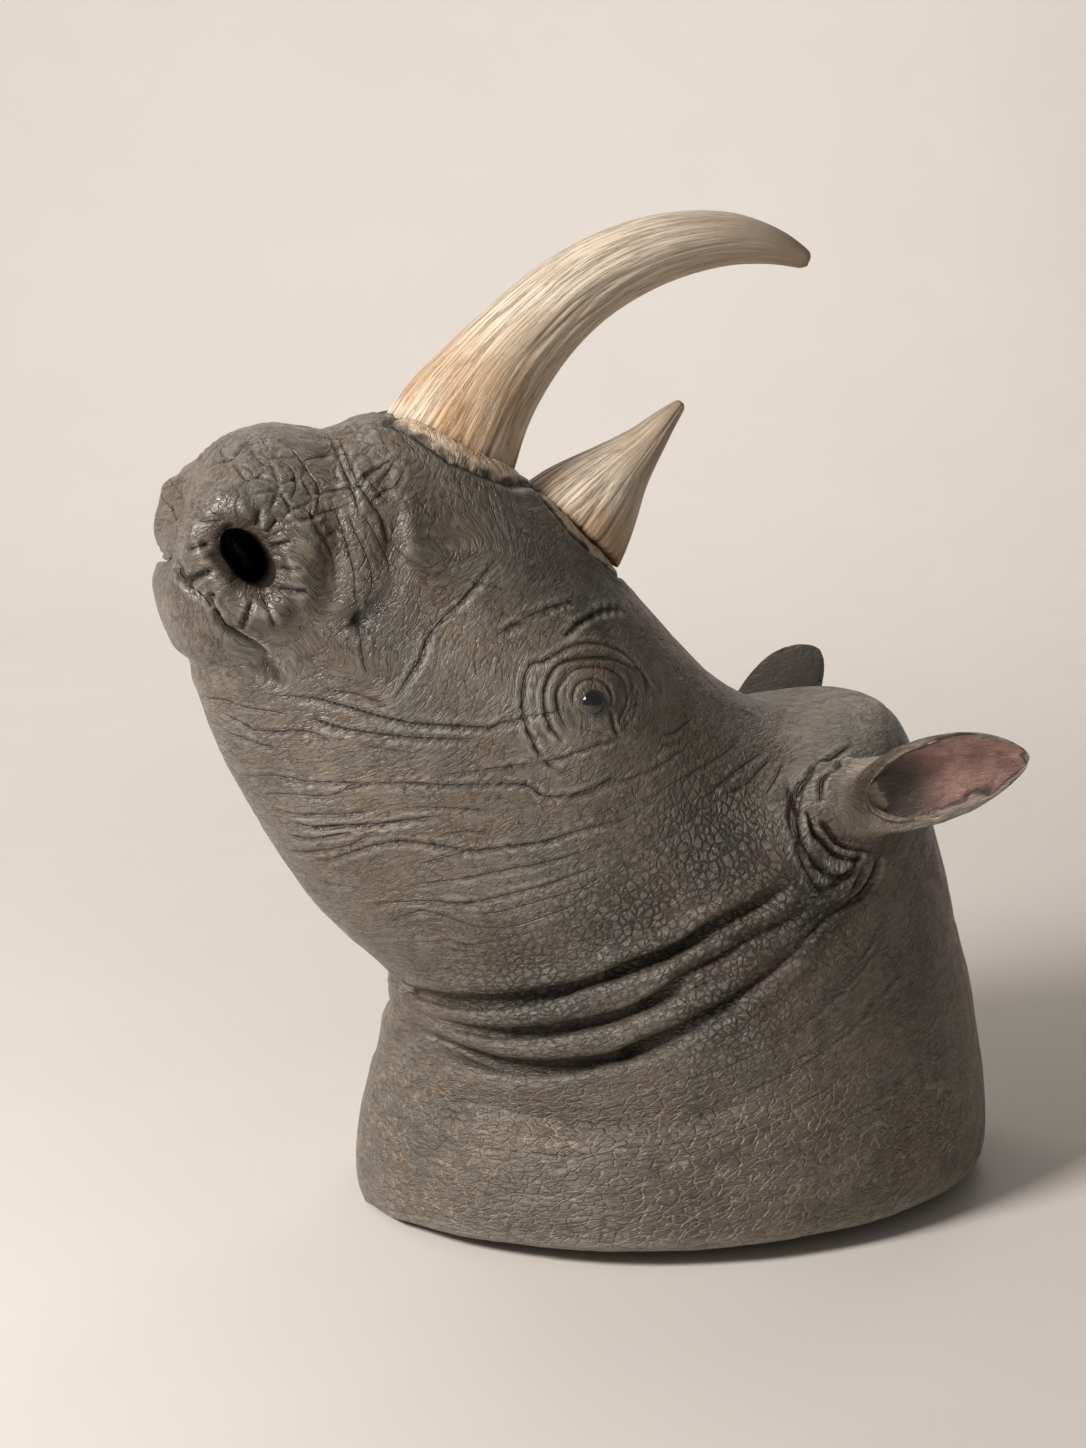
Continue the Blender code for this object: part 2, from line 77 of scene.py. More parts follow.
# Creases of the skin, as lines over the photograph in pixels: (depth and width in millimetres, line)
CREASES = (
    # rings round the muzzle, from the nostril back to the horn
    (2.2, 3.2, ((283, 441), (300, 458), (311, 474), (320, 493), (313, 521))),
    (2.6, 3.2, ((329, 435), (336, 452), (344, 471), (351, 485), (357, 502), (359, 521))),
    (2.6, 3.4, ((337, 436), (348, 459), (357, 480), (368, 495), (381, 517), (385, 534), (389, 556))),
    (2.2, 3.2, ((329, 493), (339, 521), (346, 543), (354, 573), (355, 591), (357, 608))),
    (1.8, 3.0, ((309, 502), (313, 521), (324, 539), (331, 556), (335, 578))),
    (1.8, 2.8, ((347, 508), (354, 529), (363, 547), (370, 565), (372, 584), (367, 602))),
    (1.8, 2.8, ((360, 510), (370, 524), (379, 542), (388, 561), (390, 579))),
    (1.6, 3.0, ((385, 413), (400, 435), (420, 454))),
    (1.6, 3.0, ((359, 465), (374, 487), (389, 502))),
    (1.4, 2.8, ((372, 420), (383, 440), (396, 462))),
    # creases across them
    (2.6, 3.2, ((307, 495), (326, 491), (348, 487), (359, 485), (370, 474), (383, 465), (400, 454))),
    (2.2, 3.0, ((292, 517), (305, 519), (322, 513), (339, 508), (352, 502))),
    (2.0, 3.0, ((300, 462), (309, 459), (326, 455), (338, 453))),
    (2.0, 3.0, ((376, 489), (387, 474), (400, 454))),
    (2.2, 3.0, ((368, 506), (381, 493), (396, 485), (407, 465))),
    (1.6, 2.8, ((318, 540), (330, 533), (344, 528))),
    # plates on top of the muzzle
    (2.8, 3.4, ((205, 470), (231, 459), (244, 446), (261, 442), (281, 447))),
    (2.4, 3.2, ((225, 437), (220, 450), (225, 459))),
    (2.0, 3.0, ((231, 461), (242, 476), (253, 478), (270, 469))),
    (2.4, 3.2, ((270, 454), (292, 469), (296, 487), (290, 502))),
    (2.0, 3.2, ((179, 502), (196, 504), (214, 513), (227, 519))),
    (1.8, 3.0, ((203, 471), (198, 487), (205, 500))),
    (1.8, 3.0, ((250, 448), (258, 460), (273, 468))),
    # spokes round the nostril
    (3.4, 3.4, ((270, 547), (281, 543), (292, 541))),
    (3.0, 3.4, ((281, 568), (293, 568), (305, 568))),
    (3.0, 3.4, ((279, 588), (293, 590), (308, 591))),
    (2.6, 3.4, ((261, 595), (270, 612), (275, 630))),
    (4.2, 3.6, ((252, 602), (247, 615), (242, 628))),
    (5.0, 4.2, ((235, 569), (212, 597), (211, 608))),
    (5.2, 4.4, ((227, 560), (205, 573), (186, 582))),
    (4.8, 4.0, ((227, 539), (205, 545), (186, 550))),
    (2.8, 3.4, ((234, 524), (224, 530), (217, 540))),
    (3.0, 3.4, ((255, 526), (257, 518), (260, 510))),
    (3.2, 3.4, ((266, 530), (271, 525), (278, 520))),
    (2.8, 3.4, ((222, 521), (205, 522), (181, 526))),
    (2.0, 3.2, ((240, 521), (237, 506), (243, 494))),
    # the mouth
    (6.5, 5.0, ((156, 556), (172, 556), (181, 570), (191, 584), (212, 606), (227, 624), (253, 641),
        (268, 655))),
    (4.5, 9.0, ((226, 622), (246, 642), (266, 664), (284, 688))),
    # the shadowed fold from the horn to the pit, and the lines that start from the pit
    (2.5, 9.0, ((402, 500), (396, 520), (396, 545), (394, 569), (386, 595), (366, 612))),
    (5.0, 9.0, ((352, 618), (360, 621), (368, 620))),
    (2.0, 3.0, ((359, 623), (363, 660), (368, 675))),
    (1.6, 3.0, ((357, 621), (345, 628), (333, 638))),
    (1.4, 3.0, ((381, 521), (400, 552), (428, 569), (478, 582), (520, 592))),
    # long creases before the eye
    (2.8, 3.0, ((498, 556), (480, 580), (461, 602), (441, 621), (428, 638), (420, 660), (407, 680),
        (394, 702))),
    (2.6, 3.4, ((490, 640), (517, 623), (548, 608), (576, 600))),
    # round the eye
    (2.7, 3.2, ((648, 694), (646, 680), (637, 664), (623, 651), (605, 644), (587, 642), (566, 648),
        (548, 659), (532, 664), (525, 676), (522, 694), (523, 714), (528, 732), (534, 744), (542, 759),
        (555, 769), (566, 774))),
    (3.0, 3.0, ((640, 673), (624, 662), (605, 658), (580, 659), (559, 664), (548, 680), (544, 696),
        (546, 714), (551, 728), (559, 737), (566, 743))),
    (2.6, 2.6, ((628, 690), (623, 678), (609, 669), (591, 667), (573, 671), (562, 684), (557, 694),
        (559, 709), (564, 723), (571, 732))),
    (2.4, 2.4, ((574, 708), (573, 696), (577, 686), (586, 680), (598, 680), (608, 686), (613, 697),
        (610, 710))),
    (3.0, 3.4, ((565, 637), (576, 625), (590, 616), (605, 609), (625, 609))),
    (2.6, 2.8, ((611, 708), (615, 729), (620, 735))),
    (1.2, 2.8, ((572, 722), (592, 731), (612, 734))),
    (1.2, 2.8, ((560, 758), (597, 747), (620, 739))),
    (2.2, 3.0, ((661, 735), (677, 731), (700, 712))),
    (2.4, 3.0, ((490, 785), (526, 785), (544, 796), (577, 794), (604, 783), (631, 767))),
    (1.8, 2.8, ((490, 769), (519, 765), (541, 762))),
    (2.0, 2.8, ((490, 726), (523, 717), (548, 714), (562, 710))),
    (1.6, 2.6, ((627, 690), (627, 706), (618, 722))),
    (1.6, 2.8, ((638, 690), (637, 712), (624, 730))),
    # the jaw and the cheek
    (2.2, 3.0, ((199, 693), (222, 700), (240, 707), (264, 711), (289, 715))),
    (2.4, 3.2, ((215, 709), (235, 720), (253, 730), (273, 732), (295, 731), (316, 734), (333, 743))),
    (2.2, 3.0, ((208, 722), (220, 729), (240, 737), (260, 745), (275, 747))),
    (2.6, 3.2, ((269, 696), (295, 697), (320, 700), (347, 707), (374, 715), (396, 720), (418, 724),
        (441, 725), (474, 727), (494, 727), (508, 722), (545, 713))),
    (1.8, 3.0, ((320, 690), (351, 693), (374, 700), (389, 703))),
    (2.4, 3.2, ((309, 716), (320, 722), (340, 728), (365, 732), (396, 736), (418, 738), (452, 739),
        (483, 739))),
    (1.6, 2.8, ((358, 744), (380, 748), (400, 751), (418, 754))),
    (1.8, 2.8, ((440, 776), (463, 773), (485, 770), (508, 767), (530, 764))),
    (2.4, 3.0, ((240, 779), (262, 776), (284, 778), (307, 782), (340, 783), (385, 784), (407, 783),
        (441, 785), (474, 785), (508, 784), (530, 786))),
    (2.2, 3.0, ((240, 792), (262, 795), (278, 794), (307, 796), (329, 796), (351, 789), (374, 787))),
    (2.2, 3.0, ((271, 808), (291, 814), (318, 815), (351, 814), (380, 810))),
    (1.8, 2.8, ((396, 808), (429, 808), (463, 809), (494, 812))),
    (3.0, 3.4, ((293, 823), (311, 828), (340, 827), (362, 826), (380, 825), (407, 821), (441, 816))),
    (2.4, 3.0, ((284, 834), (307, 839), (329, 837), (351, 832))),
    (2.2, 3.0, ((287, 850), (298, 852), (329, 850), (351, 845), (378, 830))),
    (2.6, 3.2, ((309, 864), (333, 859), (351, 853), (374, 846), (403, 842), (441, 846), (474, 851),
        (508, 847), (545, 842), (563, 836), (593, 827), (632, 818))),
    (2.2, 3.2, ((418, 864), (441, 859), (467, 852))),
    (1.8, 3.0, ((438, 836), (463, 832), (490, 833))),
    (2.0, 3.0, ((396, 888), (429, 883), (463, 879), (508, 870), (545, 863), (574, 855), (609, 841))),
    (1.6, 2.8, ((316, 880), (340, 886), (365, 889))),
    (2.2, 3.0, ((369, 907), (396, 903), (429, 902), (463, 904), (485, 901), (519, 892), (545, 886),
        (586, 871), (613, 859))),
    (1.8, 2.8, ((470, 914), (496, 913), (545, 900), (586, 887), (609, 869))),
    (1.8, 2.8, ((385, 926), (414, 913), (436, 914), (474, 927), (508, 928), (545, 917), (574, 906),
        (597, 892))),
    (1.6, 2.8, ((414, 943), (452, 941), (474, 946), (545, 928))),
    # below the folds of the neck
    (1.4, 2.6, ((640, 1090), (720, 1070), (790, 1035), (850, 985), (890, 930))),
    (1.4, 2.6, ((660, 1115), (740, 1095), (820, 1055), (880, 1000), (915, 940))),
    (1.4, 2.6, ((600, 1150), (700, 1140), (790, 1110), (870, 1060))),
    (1.2, 2.6, ((700, 1165), (800, 1140), (890, 1090), (940, 1040))),
    (1.4, 2.6, ((430, 1135), (500, 1150), (590, 1158))),
    (1.2, 2.6, ((400, 1165), (480, 1185), (580, 1195), (680, 1190))),
    (1.2, 2.6, ((560, 1215), (680, 1215), (800, 1190), (900, 1150))),
    (1.4, 2.6, ((820, 1010), (865, 955), (890, 900))),
    (1.2, 2.6, ((760, 1080), (830, 1040), (900, 975))),
    # behind the eye and over the ear
    (2.4, 3.0, ((705, 799), (724, 781), (747, 763), (765, 751))),
    (2.2, 3.0, ((721, 797), (747, 784), (760, 770), (772, 758))),
    (2.2, 3.0, ((765, 797), (776, 779), (783, 763))),
    (2.0, 3.0, ((639, 809), (669, 786), (701, 768), (724, 754), (745, 738))),
    (1.8, 3.0, ((540, 763), (563, 758), (597, 746), (616, 742))),
    (1.8, 3.0, ((558, 797), (586, 795), (609, 784), (643, 774), (676, 755), (702, 738))),
    # round the foot of the ear
    (5.0, 4.6, ((854, 742), (827, 761), (811, 772), (799, 790), (798, 816), (802, 839), (811, 857),
        (825, 871), (841, 878), (854, 871))),
    (4.0, 4.0, ((857, 754), (838, 765), (822, 779), (820, 804))),
    (4.0, 4.2, ((793, 790), (790, 816), (795, 836), (804, 864), (818, 887), (830, 892))),
    (4.4, 4.0, ((809, 813), (814, 832), (825, 843), (838, 855), (854, 859), (861, 855))),
    (3.6, 3.8, ((822, 820), (834, 839), (850, 848), (873, 852))),
    (4.0, 4.4, ((827, 887), (843, 880), (857, 864), (861, 855))),
    (4.0, 4.6, ((877, 855), (873, 875), (857, 896), (827, 919), (795, 950))),
    (3.2, 4.6, ((864, 862), (859, 878), (848, 898), (822, 914), (793, 937))),
)

# Folds of the neck, from the top one down, in the same way
FOLDS = (
    (10.5, 7.2, ((389, 971), (411, 990), (441, 1000), (472, 1004), (502, 1003), (533, 998), (564, 991),
        (594, 980), (619, 970), (640, 962), (674, 950), (711, 928), (747, 910), (787, 889))),
    (9.5, 7.0, ((438, 1024), (481, 1032), (512, 1033), (551, 1031), (579, 1026), (607, 1020), (625, 1014),
        (643, 1005), (665, 993), (686, 977), (704, 967), (726, 956), (747, 941), (775, 927), (809, 907))),
    (12.5, 8.2, ((436, 1038), (472, 1055), (496, 1063), (518, 1068), (551, 1069), (582, 1066),
        (613, 1058), (637, 1049), (662, 1039), (686, 1029), (704, 1019), (720, 1011), (740, 997),
        (770, 975), (810, 940))),
    (4.0, 10.0, ((398, 1081), (426, 1095), (457, 1103), (496, 1109), (527, 1115), (551, 1120),
        (579, 1124), (607, 1125), (640, 1125), (674, 1123), (717, 1112), (763, 1097))),
)
FOLD_REACH = (26, 52)  # mm: the CAD's own folds are smoothed out within the first and stay beyond the second
FOLD_ROUNDS = 70  # of smoothing there

# Which way the fine wrinkles run where no crease shows it, as lines over the photograph in pixels
GRAIN = (
    ((400, 1130), (560, 1160), (740, 1140), (900, 1080)),
    ((370, 1190), (560, 1225), (780, 1200), (950, 1140)),
    ((385, 1060), (520, 1085), (650, 1085), (800, 1025), (900, 940)),
    ((420, 1005), (560, 1010), (720, 950)),
    ((600, 925), (680, 890), (750, 830)),
    ((700, 900), (760, 850), (785, 800)),
    ((640, 850), (700, 815)),
    ((650, 620), (700, 660), (750, 700)),
    ((880, 1000), (930, 960)),
    ((900, 1100), (960, 1060)),
    ((170, 620), (180, 660), (200, 690)),
    ((200, 620), (230, 660)),
    ((420, 520), (440, 560)),
    ((480, 520), (500, 545)),
)

# Round patches in side view, as (x, z, reach) in millimetres: pebbles, plates, and painted shade below the
# horns and in the valley beside the mouth
PEBBLED = ((-20, 400, 90), (-110, 330, 80), (60, 350, 70), (-10, 320, 60), (-200, 262, 70), (-30, 262, 80))
PLATED = ((-430, 745, 50), (-350, 775, 45), (-480, 715, 35))
SHADED = ((-190, 680, 60), (-120, 640, 45), (-270, 690, 35), (-330, 640, 30), (-442, 592, 26))

EYES = ("eye_left", "eye_right")

# Horns: middle line in side view, in millimetres, from the root to the tip
HORN_LINES = {
    "front_horn": ((-241, 760), (-193, 838), (-148, 887), (-97, 928), (-36, 956), (20, 968), (64, 969),
                   (104, 961), (140, 944)),
    "rear_horn": ((-112, 686), (-77, 724), (-56, 746), (-33, 768), (-14, 789), (6, 810)),
}

HORN_FOOT = 15  # how far the horns' feet spread over the skin at their sides, in millimetres
HORN_FOOT_SIDES = (24, 46)  # how far out from the middle the feet begin and are whole
HORN_FOOT_HIGH = 3.5  # how far they stand out there, in millimetres

SIDE_LOW, SIDE_HIGH = np.array([-560.0, -20.0]), np.array([400.0, 880.0])  # x and z, in millimetres
CELL = 2.0  # of the side view's grid, in millimetres
COARSE = 3  # cells of the grid to one of the wrinkles' directions
ONWARD = np.array([0.7, -0.7])  # side view: from one wrinkle to the next, back and down
LEAD_SOFT, LEAD_POWER = 60, 1.6  # how a traced line's lead fades with the square of the way from it

FINE, DEEP = 2.0, 3.6  # depths of a fine and of a deep crease, in millimetres
CARVED_FINE, CARVED_WIDTH = 0.45, 0.85  # shares of a fine crease's depth and width that the mesh has
SOFT_WIDTH = 5.5  # wider creases are soft, without a thin line at their bottom, in millimetres
LINE_REACH = 9.0  # how far a crease counts for the bump and for its painted shade, in millimetres
LOW_NECK = (120, 220)  # mm: the wrinkles are faint below the first and whole above the second
FADE_LOW, FLAT_LOW = 14, 1.5  # mm: the relief fades below the first, and the skin is flat below the second
EYE_REACHES = (0.05, 0.028)  # m: the edges near an eye are halved once within each

# Places on the head, in millimetres, as on its right side
NOSTRIL = (-457, 690)  # in side view
NOSTRIL_HALF = (19, 34)  # across and along
NOSTRIL_LEAN = math.radians(-37)
EYE = np.array([-144, 152, 550])
LID = np.array([-146, 156, 573])
PIT = np.array([-352, 130, 630])

# The left ear's middle line from the foot of the cup to the rim and beyond it, in millimetres, and how the
# right ear stands against the mirror image of the left one
EAR_LINE = ((136, 208, 444), (150, 220, 450), (171, 236, 460), (190, 247, 468), (196, 290, 483))
EAR_FOOT = np.array([86, 158, 420])
EAR_REACH = (40, 88)  # how far from that line the cup lies, at its foot and at the end
RIGHT_EAR_TILT = math.radians(18)
RIGHT_EAR_BREADTH = 0.88
RIGHT_EAR_SHIFT = np.array([42, -14, -42])


def smooth_path(points, steps=4):
    """Points on the smooth curve through the given ones."""
    rows = np.asarray(points, float)
    padded = np.vstack([2 * rows[0] - rows[1], rows, 2 * rows[-1] - rows[-2]])
    at = np.linspace(0, len(rows) - 1, steps * (len(rows) - 1) + 1)
    span = np.minimum(at.astype(int), len(rows) - 2)
    t = (at - span)[:, None]
    before, start, end, after = (padded[span + k] for k in range(4))
    return 0.5 * (
        2 * start
        + (end - before) * t
        + (2 * before - 5 * start + 4 * end - after) * t**2
        + (3 * start - before - 3 * end + after) * t**3
    )


def step_up(values, low, high):
    share = np.clip((values - low) / (high - low), 0, 1)
    return share * share * (3 - 2 * share)


def bump(away, width):
    return np.exp(-((away / width) ** 2))


# Camera
def photo_camera():
    level = math.cos(CAMERA_RISE)
    back = Vector((math.sin(CAMERA_TURN) * level, -math.cos(CAMERA_TURN) * level, math.sin(CAMERA_RISE)))
    camera = bpy.data.objects.new("camera", bpy.data.cameras.new("camera"))
    camera.data.lens = LENS
    camera.data.sensor_width = SENSOR
    camera.location = CAMERA_TARGET + back * CAMERA_AWAY
    camera.rotation_euler = back.to_track_quat("Z", "Y").to_euler()
    bpy.context.scene.collection.objects.link(camera)
    bpy.context.scene.camera = camera
    return camera


def on_skin(pixels, camera, tree):
    """Where lines of sight through pixels of the photograph meet the head, in mm, as on its right side."""
    turn = camera.rotation_euler.to_matrix()
    focal = LENS / SENSOR * PHOTO_HEIGHT
    spots = []
    for px, py in pixels:
        sight = turn @ Vector(((px - PHOTO_WIDTH / 2) / focal, (PHOTO_HEIGHT / 2 - py) / focal, -1))
        spot = tree.ray_cast(camera.location, sight.normalized())[0]
        if spot:
            spots.append((spot.x / MM, abs(spot.y) / MM, spot.z / MM))
    return np.array(spots)


# The head's form
def node_mesh(name):
    made = bmesh.new()
    made.from_mesh(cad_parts[name].data)
    bmesh.ops.remove_doubles(made, verts=made.verts, dist=WELD)
    return made


def shown_object(name, made, body="root"):
    mesh = bpy.data.meshes.new(name)
    made.to_mesh(mesh)
    made.free()
    obj = bpy.data.objects.new(name, mesh)
    bpy.context.scene.collection.objects.link(obj)
    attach(obj, body)
    return obj


def trees_of(names):
    """For each node, a tree that finds its nearest face."""
    trees = []
    for name in names:
        piece = node_mesh(name)
        trees.append(BVHTree.FromBMesh(piece))
        piece.free()
    return trees


def join_faces(made, bend, skew):
    """Joins triangles into four-sided faces where they bend and skew by less than so many degrees."""
    bmesh.ops.join_triangles(made, faces=made.faces, angle_face_threshold=math.radians(bend),
                             angle_shape_threshold=math.radians(skew))


def close_sockets(made):
    """Takes out the faces that line the sockets and closes the holes, so that the horns stand in skin."""
    trees = trees_of((*HORN_LINES, *EYES))
    lining = [
        face for face in made.faces
        if any(tree.find_nearest(face.calc_center_median(), SOCKET_REACH)[0] for tree in trees)
    ]
    bmesh.ops.delete(made, geom=lining, context="FACES")
    rims = [edge for edge in made.edges if edge.is_boundary]
    bmesh.ops.holes_fill(made, edges=rims, sides=0)
    bmesh.ops.triangulate(made, faces=[face for face in made.faces if len(face.verts) > 3])


def apply_modifiers(obj, *steps):
    """Adds each modifier (kind, settings) and makes its result the object's mesh."""
    for kind, settings in steps:
        modifier = obj.modifiers.new(kind.title(), kind)
        for key, value in settings.items():
            setattr(modifier, key, value)
    graph = bpy.context.evaluated_depsgraph_get()
    mesh = bpy.data.meshes.new_from_object(obj.evaluated_get(graph))
    obj.modifiers.clear()
    old, obj.data = obj.data, mesh
    bpy.data.meshes.remove(old)


def points_of(mesh, what="co"):
    """One row for each point of the mesh: its place or, for "normal", its normal."""
    rows = np.empty(len(mesh.vertices) * 3, np.float32)
    mesh.vertices.foreach_get(what, rows)
    return rows.reshape(-1, 3).astype(float)


def set_points(mesh, points):
    mesh.vertices.foreach_set("co", points.astype(np.float32).ravel())
    mesh.update()


def add_mark(mesh, name, values):
    """Keeps a number or a vector at each point of the mesh, for its material."""
    is_vector = values.ndim > 1
    layer = mesh.attributes.new(name, "FLOAT_VECTOR" if is_vector else "FLOAT", "POINT")
    layer.data.foreach_set("vector" if is_vector else "value", values.astype(np.float32).ravel())


def refine(obj, middles, reaches):
    """Halves the edges near each middle, once for each reach."""
    made = bmesh.new()
    made.from_mesh(obj.data)
    for reach in reaches:
        near = {vert for vert in made.verts if min((vert.co - middle).length for middle in middles) < reach}
        edges = [edge for edge in made.edges if edge.verts[0] in near and edge.verts[1] in near]
        bmesh.ops.subdivide_edges(made, edges=edges, cuts=1, use_grid_fill=True)
    bmesh.ops.triangulate(made, faces=[face for face in made.faces if len(face.verts) > 4])
    made.to_mesh(obj.data)
    made.free()


def neighbour_pairs(mesh):
    edges = np.empty(len(mesh.edges) * 2, np.int32)
    mesh.edges.foreach_get("vertices", edges)
    return edges.reshape(-1, 2)


def spread(values, edges, rounds):
    """The values after so many rounds of averaging with their neighbours."""
    count = np.bincount(edges.ravel(), minlength=len(values))[:, None] + 1e-9
    flat = values.reshape(len(values), -1)
    for _ in range(rounds):
        total = np.zeros_like(flat)
        for column in range(flat.shape[1]):
            total[:, column] = np.bincount(edges[:, 0], flat[edges[:, 1], column], len(values))
            total[:, column] += np.bincount(edges[:, 1], flat[edges[:, 0], column], len(values))
        flat = 0.5 * flat + 0.5 * total / count
    return flat.reshape(values.shape)


# Fine wrinkles, drawn out along the creases in side view
def directions(lines):
    """Cosine and sine of the wrinkles' direction over the side view's grid, from the lines that lead them."""
    middles, doubled, weights = [], [], []
    for line in lines:
        runs = np.diff(line, axis=0)
        angles = np.arctan2(runs[:, 1], runs[:, 0])
        middles.append((line[1:] + line[:-1]) / 2)
        doubled.append(np.stack([np.cos(2 * angles), np.sin(2 * angles)], 1))
        weights.append(np.linalg.norm(runs, axis=1))
    middles, doubled, weights = (np.concatenate(rows) for rows in (middles, doubled, weights))
    size = np.ceil((SIDE_HIGH - SIDE_LOW) / (CELL * COARSE)).astype(int)
    x, z = np.meshgrid(*(SIDE_LOW[k] + np.arange(size[k]) * CELL * COARSE for k in (0, 1)), indexing="ij")
    total = np.zeros((*size, 2))
    for middle, pair, weight in zip(middles, doubled, weights):
        away = (x - middle[0]) ** 2 + (z - middle[1]) ** 2
        total += (weight / (away + LEAD_SOFT) ** LEAD_POWER)[..., None] * pair
    angle = np.arctan2(total[..., 1], total[..., 0]) / 2
    return np.cos(angle), np.sin(angle)


def from_slopes(slope_x, slope_z):
    """The grid whose slopes come nearest to the given ones, in millimetres."""
    size_x, size_z = slope_x.shape
    wide_x = np.block([[slope_x, slope_x[:, ::-1]], [-slope_x[::-1], -slope_x[::-1, ::-1]]])
    wide_z = np.block([[slope_z, -slope_z[:, ::-1]], [slope_z[::-1], -slope_z[::-1, ::-1]]])
    rate_x = 2j * math.pi * np.fft.fftfreq(2 * size_x)[:, None]
    rate_z = 2j * math.pi * np.fft.fftfreq(2 * size_z)[None, :]
    square = rate_x**2 + rate_z**2
    square[0, 0] = 1
    found = (rate_x * np.fft.fft2(wide_x) + rate_z * np.fft.fft2(wide_z)) / square
    found[0, 0] = 0
    return np.fft.ifft2(found).real[:size_x, :size_z] * CELL * COARSE


def flow_grids(leading):
    """Grids of the way along the wrinkles and across them, in millimetres."""
    cosine, sine = leading
    across = np.stack([-sine, cosine], 2)
    across *= np.where(across @ ONWARD < 0, -1, 1)[..., None]
    return from_slopes(-across[..., 1], across[..., 0]), from_slopes(across[..., 0], across[..., 1])


def blurred(values, reach):
    """The grid after a Gaussian blur of that reach in cells."""
    rates = [np.fft.fftfreq(size)[:, None] if axis == 0 else np.fft.rfftfreq(size)[None, :]
             for axis, size in enumerate(values.shape)]
    keep = np.exp(-2 * (math.pi * reach) ** 2 * (rates[0] ** 2 + rates[1] ** 2))
    return np.fft.irfft2(np.fft.rfft2(values) * keep, values.shape)


def streaks(leading, wide, long, seed):
    """Noise over the side view's grid, with that wavelength in mm, drawn out so long along the lines."""
    cosine, sine = (np.repeat(np.repeat(grid, COARSE, axis=0), COARSE, axis=1) for grid in leading)
    grain = blurred(np.random.default_rng(seed).standard_normal(cosine.shape), wide / 5 / CELL)
    total = grain.copy()
    for way in (1, -1):
        row, column = np.indices(cosine.shape).astype(float)
        ahead_x, ahead_z = way * cosine, way * sine
        for _ in range(int(long / 2 / CELL)):
            row += ahead_x
            column += ahead_z
            near = (np.clip(row + 0.5, 0, cosine.shape[0] - 1).astype(int),
                    np.clip(column + 0.5, 0, cosine.shape[1] - 1).astype(int))
            total += grain[near]
            same = np.where(cosine[near] * ahead_x + sine[near] * ahead_z < 0, -1, 1)
            ahead_x, ahead_z = same * cosine[near], same * sine[near]
    total -= blurred(total, wide / CELL)
    return total / total.std()


def read_grid(grid, points, cell=CELL):
    """Values of a grid at the points in side view."""
    place = (points[:, [0, 2]] - SIDE_LOW) / cell
    place = np.clip(place, 0, np.array(grid.shape) - 1.001)
    low = place.astype(int)
    share = place - low
    corner = [grid[low[:, 0] + i, low[:, 1] + j] for i in (0, 1) for j in (0, 1)]
    first = corner[0] * (1 - share[:, 1]) + corner[1] * share[:, 1]
    second = corner[2] * (1 - share[:, 1]) + corner[3] * share[:, 1]
    return first * (1 - share[:, 0]) + second * share[:, 0]


def two_sided(leading, wide, long, seed, points):
    """Streaks at the points, with other ones on the right side."""
    left, right = (read_grid(streaks(leading, wide, long, seed + side), points) for side in (0, 1))
    share = step_up(points[:, 1], -30, 30)
    return (left * (1 - share) + right * share) / np.sqrt(share**2 + (1 - share) ** 2)


# Relief of the skin
def beside(spots, line, reach):
    """For spots within reach of a line in mm: which they are, the way from it, its run and share there."""
    path = smooth_path(line)
    low, high = path.min(axis=0) - reach, path.max(axis=0) + reach
    near = np.flatnonzero(((spots > low) & (spots < high)).all(axis=1))
    spots = spots[near]
    away, place = np.full(len(near), np.inf), np.zeros(len(near))
    gaps, runs = np.zeros((len(near), 3)), np.zeros((len(near), 3))
    for k, (start, end) in enumerate(zip(path, path[1:])):
        run = end - start
        share = np.clip((spots - start) @ run / (run @ run), 0, 1)
        gap = spots - start - share[:, None] * run
        length = np.linalg.norm(gap, axis=1)
        closer = length < away
        away[closer] = length[closer]
        gaps[closer] = gap[closer]
        runs[closer] = run
        place[closer] = ((k + share) / (len(path) - 1))[closer]
    return near, gaps, runs, place


def run_out(place):
    """From 1 to 0 towards both ends of a line."""
    return np.sqrt(np.clip(np.minimum(place, 1 - place) / 0.2, 0, 1))


def crease_shape(away, width):
    """A groove with low rolls beside it."""
    return bump(away, width) - 0.3 * bump(away - 2 * width, width)


def fold_shape(away, width):
    """A tight groove at the bottom and plump rolls beside it."""
    groove = 0.65 * bump(away, width) + 0.45 * bump(away, 0.4 * width)
    return groove - 0.42 * bump(away - 2.1 * width, 1.1 * width)


def cut_along(folded, line, depth, width, shape, widths):
    """How deep a groove cuts, in mm, out to so many widths. It runs out towards both ends."""
    cut = np.zeros(len(folded))
    near, gaps, _, place = beside(folded, line, widths * width)
    cut[near] = depth * run_out(place) * shape(np.linalg.norm(gaps, axis=1), width)
    return cut


def fold_share(folded, lines):
    """1 near the folds of the neck and 0 away from them."""
    away = np.full(len(folded), FOLD_REACH[1] + 0.0)
    for line in lines:
        near, gaps, _, _ = beside(folded, line, FOLD_REACH[1])
        away[near] = np.minimum(away[near], np.linalg.norm(gaps, axis=1))
    return 1 - step_up(away, *FOLD_REACH)


def crease_marks(folded, normals, lines):
    """For the bump and the painted shade along the creases: how far each point is from the nearest crease,
    how far to one side, and its depth.
    """
    away, side = (np.full(len(folded), LINE_REACH) for _ in range(2))
    deep = np.zeros(len(folded))
    for (depth, width, _), line in zip(CREASES, lines):
        if len(line) < 2 or width > SOFT_WIDTH:
            continue
        near, gaps, runs, place = beside(folded, line, LINE_REACH)
        facing = normals[near]
        gaps = gaps - (gaps * facing).sum(axis=1)[:, None] * facing
        length = np.linalg.norm(gaps, axis=1)
        way = np.where((np.cross(runs, gaps) * facing).sum(axis=1) < 0, -1, 1)
        closer = length < away[near]
        kept = near[closer]
        away[kept] = length[closer]
        side[kept] = (length * way)[closer]
        deep[kept] = (depth * run_out(place))[closer]
    return away, side, deep


